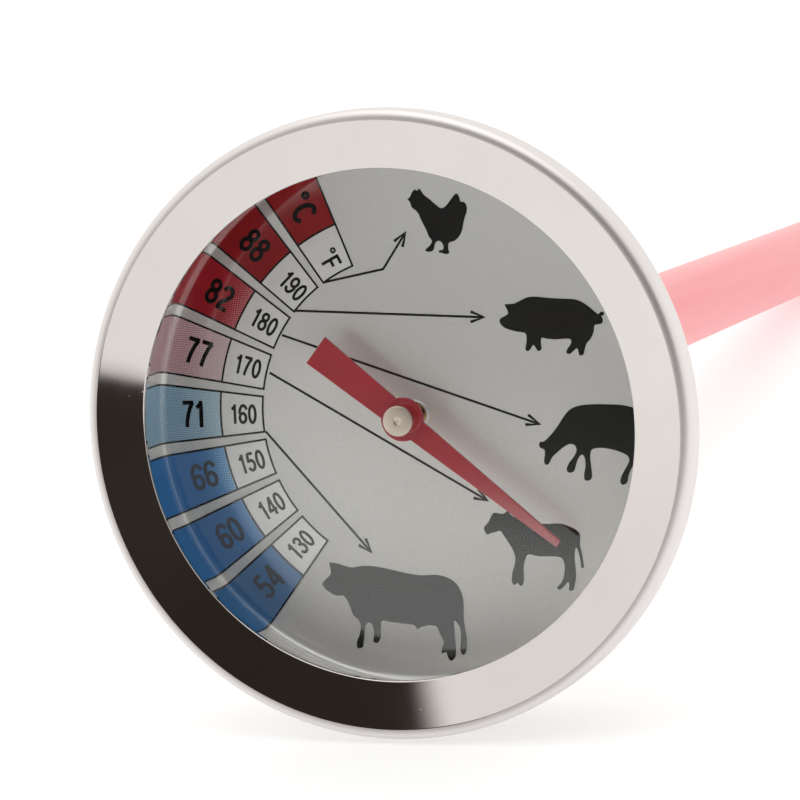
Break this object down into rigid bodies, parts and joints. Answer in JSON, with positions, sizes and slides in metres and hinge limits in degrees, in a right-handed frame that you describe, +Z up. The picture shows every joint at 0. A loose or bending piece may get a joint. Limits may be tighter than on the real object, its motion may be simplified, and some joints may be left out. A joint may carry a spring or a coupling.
{
  "type": "dial meat thermometer",
  "caption": "Round bimetal dial meat thermometer: polished steel head, glass lens, printed dial, turning red pointer, thin stem and a slide-off pink plastic probe sheath.",
  "frame": {"origin": "bottom centre of the bounding box, on the surface that the thermometer lies on: the rim's lower edge and the round end of the sheath touch Z = 0", "axes": "+Z up; +Y from the dial towards the stem's tip, which slopes down by 8.8 degrees; the dial faces -Y and reads upright with +X to its right"},
  "size_m": [0.0518, 0.152, 0.0516],
  "materials": {
    "polished_steel": "polished stainless steel",
    "satin_steel": "satin turned stainless steel",
    "clear_glass": "clear flat glass",
    "black_rubber": "matt black rubber",
    "dial_print": "printed metal dial, satin",
    "brass": "turned brass",
    "pointer_red": "red paint, satin",
    "nickel": "satin nickel",
    "bimetal": "rolled bimetal strip",
    "pink_plastic": "translucent pink plastic, glossy"
  },
  "bodies": {
    "head": {"bezel_ring": "polished_steel", "lens": "clear_glass", "lens_gasket": "black_rubber", "case_cup": "polished_steel", "dial_plate": "dial_print", "dial_support_ring": "satin_steel", "stem_collar": "satin_steel", "collar_lock_ring": "brass", "collar_washer": "black_rubber", "stem_tube": "polished_steel", "stem_tip": "polished_steel", "spindle_bearing": "brass", "spindle_guide": "brass", "bimetal_coil": "bimetal", "coil_anchor": "brass"},
    "pointer_assembly": {"pointer": "pointer_red", "pointer_hub": "nickel", "pointer_washer": "brass", "spindle": "satin_steel", "coil_coupling": "brass"},
    "probe_sheath": {"sheath": "pink_plastic"}
  },
  "joints": [
    {"name": "pointer_turn", "type": "hinge", "parent": "head", "child": "pointer_assembly", "pos_m": [0, -0.06708, 0.02529], "axis": [0, 0.9882, -0.1534], "range_deg": [-60, 205]},
    {"name": "sheath_pull", "type": "slide", "parent": "head", "child": "probe_sheath", "axis": [0, 0.9882, -0.1534], "range_m": [0, 0.135]}
  ]
}
